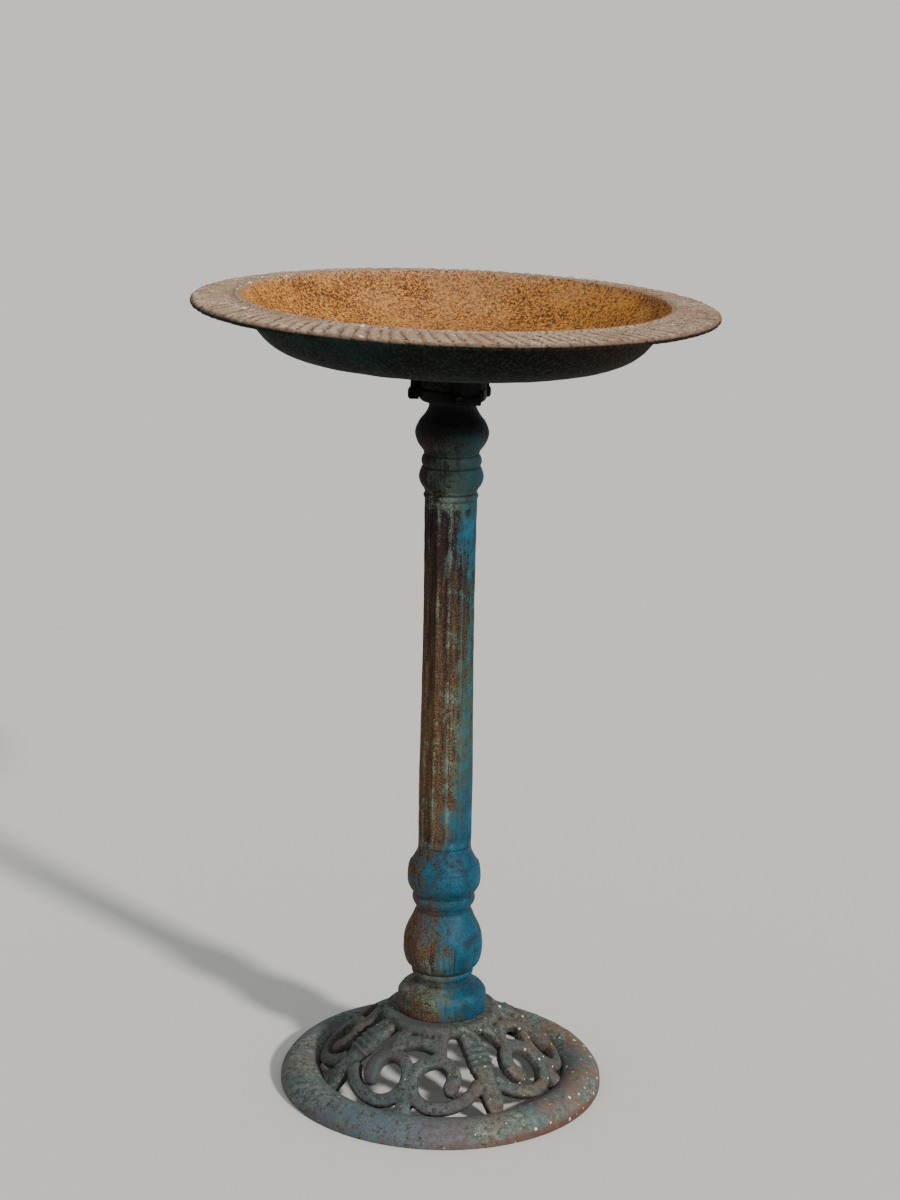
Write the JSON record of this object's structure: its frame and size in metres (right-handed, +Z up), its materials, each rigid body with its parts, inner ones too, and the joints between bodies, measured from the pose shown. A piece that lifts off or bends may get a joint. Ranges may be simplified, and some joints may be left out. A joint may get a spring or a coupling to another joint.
{
  "type": "bird bath",
  "caption": "Free-standing cast-iron bird bath: wide shallow basin with a flat ridged flange, twist-locked onto a slender fluted column with turned bulbs, on a pierced scrollwork foot.",
  "frame": {"origin": "on the ground under the column's axis, at the centre of the foot ring", "axes": "+Z up along the column, -Y towards the front"},
  "size_m": [0.4439, 0.444, 0.7135],
  "materials": {
    "base_iron": "rough cast iron with a grey-green patina, blue paint left in patches and rust along the rim",
    "column_iron": "cast iron with worn blue and sage paint over dark brown rust",
    "basin_iron": "taupe oxidised cast iron, orange rust inside the bowl, near black underneath",
    "dull_steel": "dull zinc-plated steel with rust in the corners"
  },
  "bodies": {
    "column": {"base_casting": "base_iron", "lower_baluster": "column_iron", "fluted_shaft": "column_iron", "column_capital": "column_iron", "tie_rod": "dull_steel", "rod_washer_top": "dull_steel", "rod_nut_top": "dull_steel", "rod_washer_bottom": "dull_steel", "lock_washer_bottom": "dull_steel", "rod_nut_bottom": "dull_steel"},
    "basin": {"basin_casting": "basin_iron", "basin_lock_screw": "dull_steel"}
  },
  "joints": [
    {"name": "basin_twist", "type": "hinge", "parent": "column", "child": "basin", "pos_m": [0, 0, 0.634], "axis": [0, 0, 1], "range_deg": [0, 60]}
  ]
}
